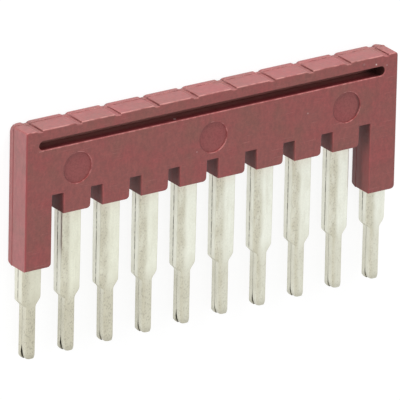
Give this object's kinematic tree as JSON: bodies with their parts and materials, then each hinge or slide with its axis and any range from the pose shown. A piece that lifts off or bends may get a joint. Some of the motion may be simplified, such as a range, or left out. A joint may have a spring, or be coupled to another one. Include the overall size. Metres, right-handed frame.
{
  "type": "terminal block jumper bar",
  "caption": "Plug-in comb jumper bar that bridges a row of rail terminals: a moulded maroon housing grips stamped contact combs laid back to back.",
  "frame": {"origin": "under the middle of the bar, on the plane of its back face, halfway from the housing's top to the pin tips", "axes": "X along the row of poles, +Y from the pin tips to the housing's top face, +Z out of the front face; the bar lies on its back face"},
  "size_m": [0.0502, 0.0282, 0.0036],
  "materials": {
    "maroon_moulding": "fine matt moulded grain",
    "tin_plating": "satin tin plating on a copper alloy"
  },
  "bodies": {
    "root": {"housing": "maroon_moulding", "front_comb": "tin_plating", "back_comb": "tin_plating"}
  },
  "joints": []
}
